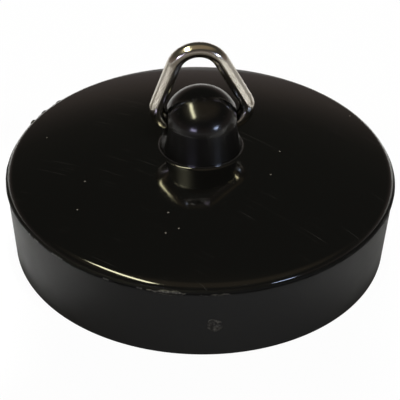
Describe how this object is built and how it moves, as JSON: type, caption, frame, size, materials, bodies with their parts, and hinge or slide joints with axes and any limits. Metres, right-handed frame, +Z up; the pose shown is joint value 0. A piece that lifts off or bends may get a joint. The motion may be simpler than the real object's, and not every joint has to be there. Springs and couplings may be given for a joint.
{
  "type": "drain stopper",
  "caption": "Round tapered drain plug with a glossy crowned top, a hollow underside and a domed centre knob, pierced for a hinged wire triangle that takes a chain.",
  "frame": {"origin": "centre of the plug's bottom edge, on the plug's axis", "axes": "+Z up along the plug's axis, towards the knob; X along the hole across the knob, which is the wire triangle's hinge axis"},
  "size_m": [0.045, 0.045, 0.0275],
  "materials": {
    "black_plastic": "gloss moulded top and knob, satin skirt",
    "chrome_wire": "bright plated"
  },
  "bodies": {
    "plug": {"plug_body": "black_plastic"},
    "triangle": {"wire_triangle": "chrome_wire"}
  },
  "joints": [
    {"name": "triangle_swing", "type": "hinge", "parent": "plug", "child": "triangle", "pos_m": [0, 0, 0.0168], "axis": [1, 0, 0], "range_deg": [-105, 105]}
  ]
}
